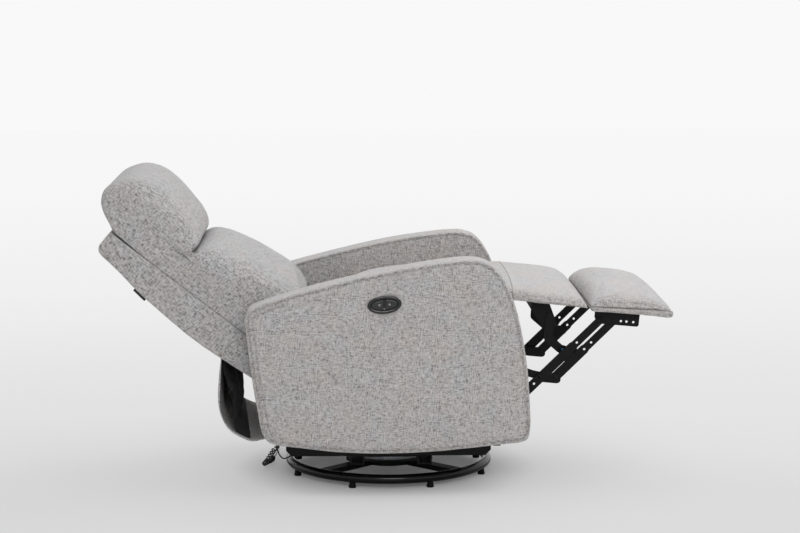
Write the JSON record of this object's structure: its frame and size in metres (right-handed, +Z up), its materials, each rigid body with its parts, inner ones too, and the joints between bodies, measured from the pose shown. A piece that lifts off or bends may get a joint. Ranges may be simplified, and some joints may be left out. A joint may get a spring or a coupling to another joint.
{
  "type": "star base swivel recliner",
  "caption": "Upholstered recliner laid back on a round ring base with crossed bars and a swivel; footrest raised on steel links, oval switch in one arm.",
  "frame": {"origin": "on the floor under the middle of the chair's box, its lead and plug left out", "axes": "+X the way the sitter faces, +Y to the sitter's left, +Z up"},
  "size_m": [1.5986, 0.773, 0.8868],
  "materials": {
    "cover_fabric": "matt woven heather",
    "lining": "matt",
    "tab_fabric": "matt",
    "frame_steel": "satin black",
    "base_enamel": "gloss black",
    "plated_steel": "zinc plated",
    "timber": "raw",
    "black_plastic": "fine grain",
    "switch_gloss": "polished",
    "black_rubber": "matt"
  },
  "bodies": {
    "base": {"base_ring": "base_enamel", "base_cross": "frame_steel", "swivel_plate_lower": "frame_steel", "swivel_bolt": "plated_steel"},
    "chassis": {"bearing_race": "plated_steel", "swivel_plate_upper": "frame_steel", "cross_rail_front": "frame_steel", "cross_rail_rear": "frame_steel", "mech_rail_near": "frame_steel", "mech_rail_far": "frame_steel", "front_post_near": "frame_steel", "front_post_far": "frame_steel", "hinge_post_near": "frame_steel", "hinge_post_far": "frame_steel", "front_tube": "frame_steel", "rear_tube": "frame_steel", "side_rail_near": "timber", "side_rail_far": "timber", "bottom_rail_front": "timber", "bottom_rail_rear": "timber", "seat_deck": "timber", "seat_apron": "lining", "seat_cushion": "cover_fabric", "arm_near": "cover_fabric", "arm_far": "cover_fabric", "switch_bezel": "switch_gloss", "bridge_pad": "cover_fabric", "rear_flap": "lining", "actuator_motor": "black_plastic", "actuator_rail": "plated_steel", "lead_gland": "black_rubber", "supply_lead": "black_rubber", "supply_plug": "black_plastic"},
    "back": {"back_shell": "cover_fabric", "back_cushion": "cover_fabric", "head_pillow": "cover_fabric", "back_tab": "tab_fabric", "back_strap_near": "frame_steel", "back_strap_far": "frame_steel"},
    "front_lower": {"lower_link_front_near": "frame_steel", "lower_link_front_far": "frame_steel", "torque_tube": "frame_steel"},
    "rear_lower": {"lower_link_rear_near": "frame_steel", "lower_link_rear_far": "frame_steel"},
    "upper": {"upper_link_near": "frame_steel", "upper_link_far": "frame_steel", "bridge_arm_near": "frame_steel", "bridge_arm_far": "frame_steel", "bridge_bar": "frame_steel"},
    "twin": {"twin_link_near": "frame_steel", "twin_link_far": "frame_steel"},
    "ottoman": {"ottoman_bracket_near": "frame_steel", "ottoman_bracket_far": "frame_steel", "ottoman_board": "cover_fabric", "ottoman_pad": "cover_fabric"},
    "drive_block": {"actuator_block": "black_plastic"},
    "button_rear": {"switch_button_rear": "black_plastic"},
    "button_front": {"switch_button_front": "black_plastic"}
  },
  "joints": [
    {"name": "swivel", "type": "hinge", "parent": "base", "child": "chassis", "pos_m": [0.00957, 0, 0], "axis": [0, 0, 1], "continuous": true},
    {"name": "back_recline", "type": "hinge", "parent": "chassis", "child": "back", "pos_m": [-0.24043, 0, 0.4], "axis": [0, 1, 0], "range_deg": [0, 36], "deforming": ["rear_flap"]},
    {"name": "footrest_fold", "type": "hinge", "parent": "chassis", "child": "front_lower", "pos_m": [0.26611, 0, 0.42246], "axis": [0, 1, 0], "range_deg": [0, 90], "deforming": ["bridge_pad"]},
    {"name": "rear_lower_follow", "type": "hinge", "parent": "chassis", "child": "rear_lower", "pos_m": [0.22811, 0, 0.42446], "axis": [0, 1, 0], "range_deg": [0, 90]},
    {"name": "upper_follow", "type": "hinge", "parent": "front_lower", "child": "upper", "pos_m": [0.47511, 0, 0.30346], "axis": [0, 1, 0], "range_deg": [-90, 0]},
    {"name": "twin_follow", "type": "hinge", "parent": "front_lower", "child": "twin", "pos_m": [0.43311, 0, 0.30546], "axis": [0, 1, 0], "range_deg": [-90, 0]},
    {"name": "ottoman_follow", "type": "hinge", "parent": "upper", "child": "ottoman", "pos_m": [0.63757, 0, 0.462], "axis": [0, 1, 0], "range_deg": [0, 90]},
    {"name": "drive_travel", "type": "slide", "parent": "chassis", "child": "drive_block", "axis": [0.9938, 0, -0.1113], "range_m": [-0.0943, 0]},
    {"name": "press_rear", "type": "slide", "parent": "chassis", "child": "button_rear", "axis": [0, 1, 0], "range_m": [0, 0.0015], "stiffness_N_per_m": 700},
    {"name": "press_front", "type": "slide", "parent": "chassis", "child": "button_front", "axis": [0, 1, 0], "range_m": [0, 0.0015], "stiffness_N_per_m": 700}
  ],
  "couplings": [
    {"joint": "rear_lower_follow", "follows": "footrest_fold", "ratio": 1},
    {"joint": "upper_follow", "follows": "footrest_fold", "ratio": -1},
    {"joint": "twin_follow", "follows": "footrest_fold", "ratio": -1},
    {"joint": "ottoman_follow", "follows": "footrest_fold", "ratio": 1},
    {"joint": "drive_travel", "follows": "footrest_fold", "m_per_rad": -0.06}
  ]
}
